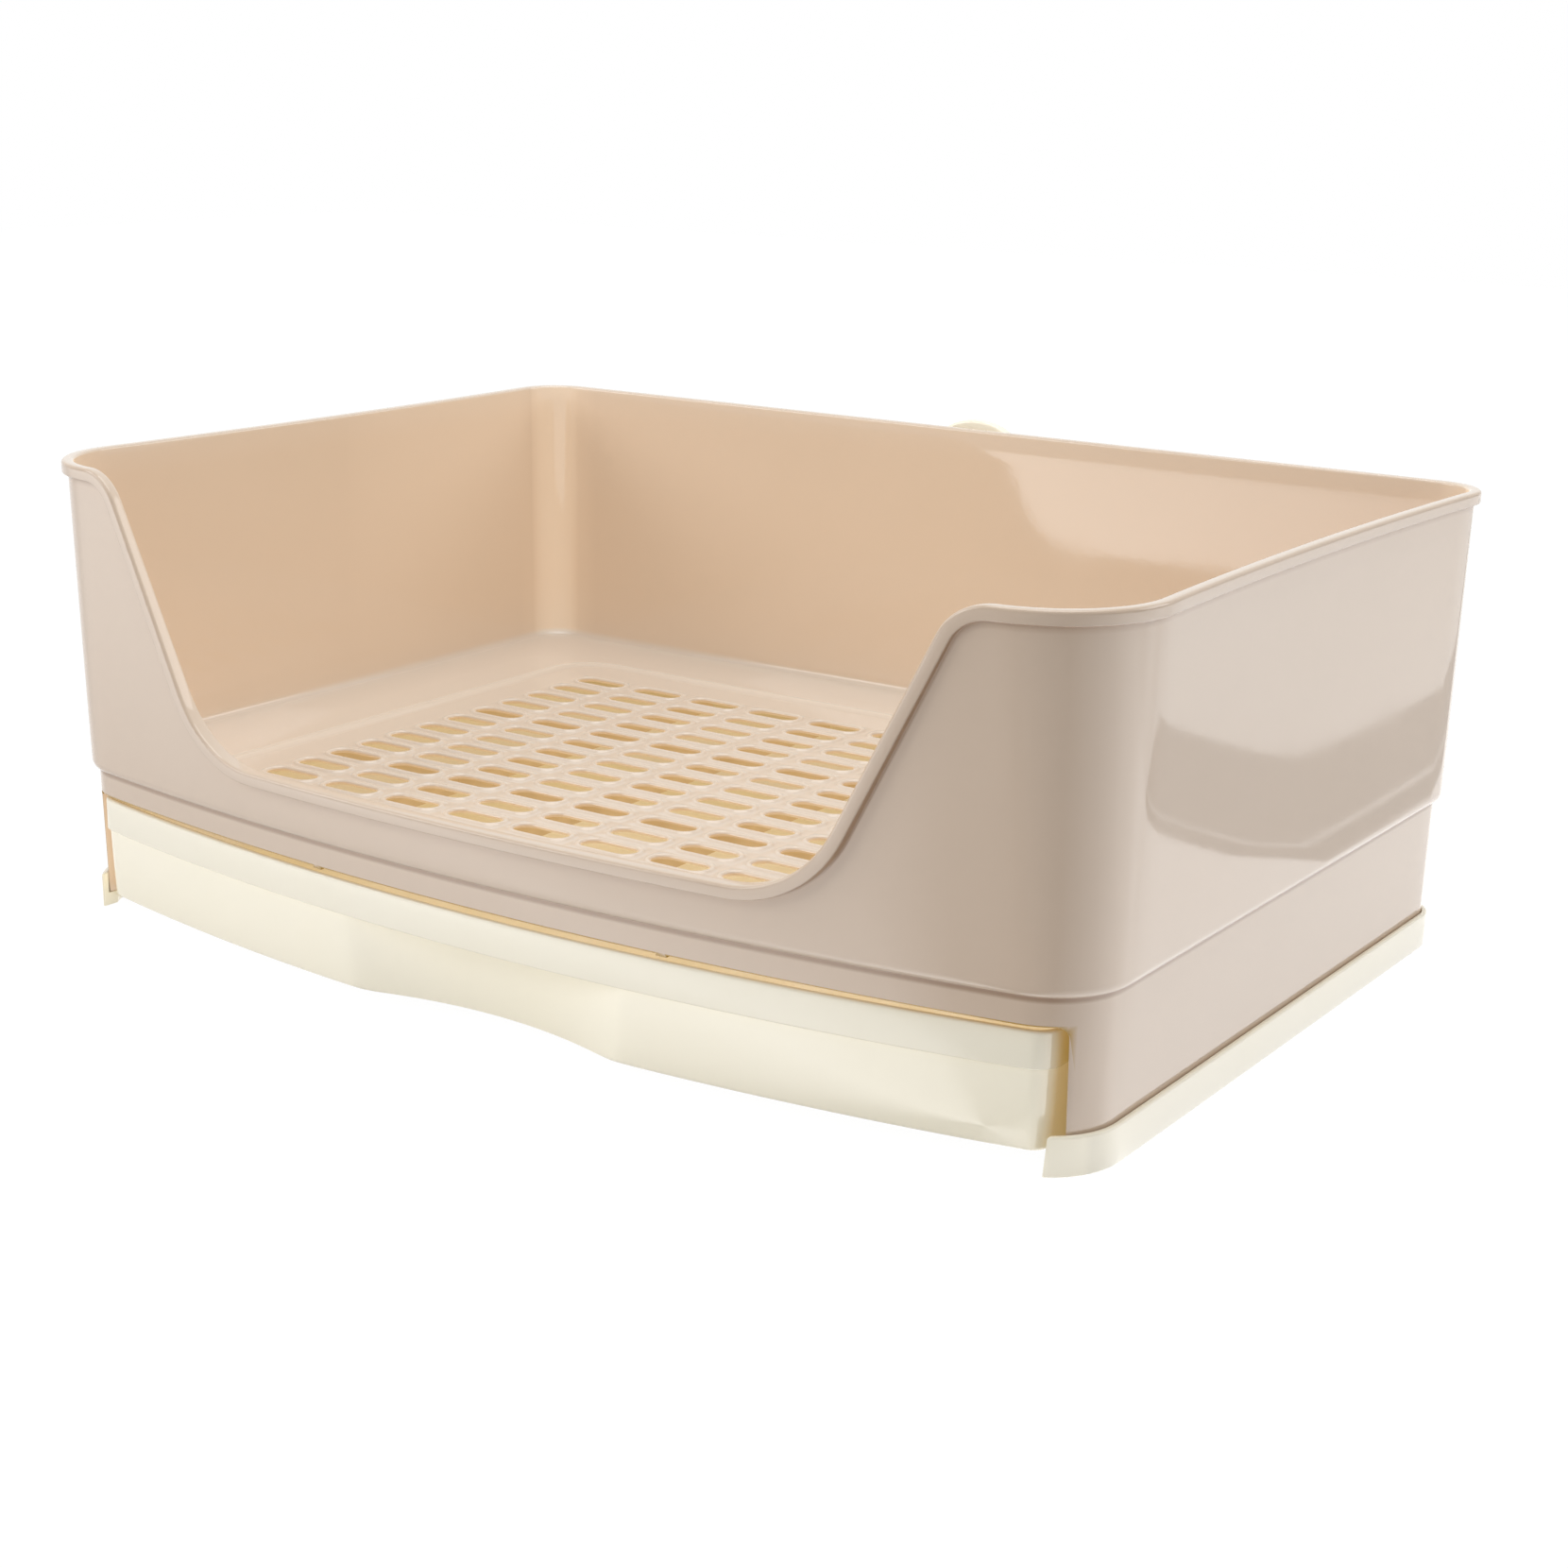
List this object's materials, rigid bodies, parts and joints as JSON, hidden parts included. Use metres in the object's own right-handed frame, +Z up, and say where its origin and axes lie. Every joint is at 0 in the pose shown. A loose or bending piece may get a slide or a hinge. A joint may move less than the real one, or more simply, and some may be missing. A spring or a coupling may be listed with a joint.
{
  "type": "small animal litter tray",
  "caption": "Low rectangular litter tray with a scooped front entry, slotted floor grate, pull-out drawer below, base tray and a rear clamping knob",
  "frame": {"origin": "on the ground plane, under the middle of the whole object's bounding box", "axes": "+Z up, the scooped front with the drawer faces -Y, +X to the right of someone who faces the front"},
  "size_m": [0.42, 0.3138, 0.1661],
  "materials": {
    "beige_polypropylene": "injection-moulded polypropylene, warm beige, glossy and very slightly translucent",
    "cream_polypropylene": "injection-moulded polypropylene, pale cream, glossy and slightly translucent"
  },
  "bodies": {
    "base": {"base_tray": "cream_polypropylene"},
    "body": {"enclosure": "beige_polypropylene"},
    "grate": {"floor_grate": "beige_polypropylene"},
    "drawer": {"drawer": "cream_polypropylene"},
    "knob": {"clamp_knob": "cream_polypropylene"}
  },
  "joints": [
    {"name": "enclosure_lift", "type": "slide", "parent": "base", "child": "body", "axis": [0, 0, 1], "range_m": [0, 0.06]},
    {"name": "grate_lift", "type": "slide", "parent": "body", "child": "grate", "axis": [0, 0, 1], "range_m": [0, 0.12]},
    {"name": "drawer_slide", "type": "slide", "parent": "base", "child": "drawer", "axis": [0, -1, 0], "range_m": [0, 0.285]},
    {"name": "clamp_knob_turn", "type": "hinge", "parent": "body", "child": "knob", "pos_m": [0, 0.14645, 0.1406], "axis": [0, 1, 0], "continuous": true}
  ]
}
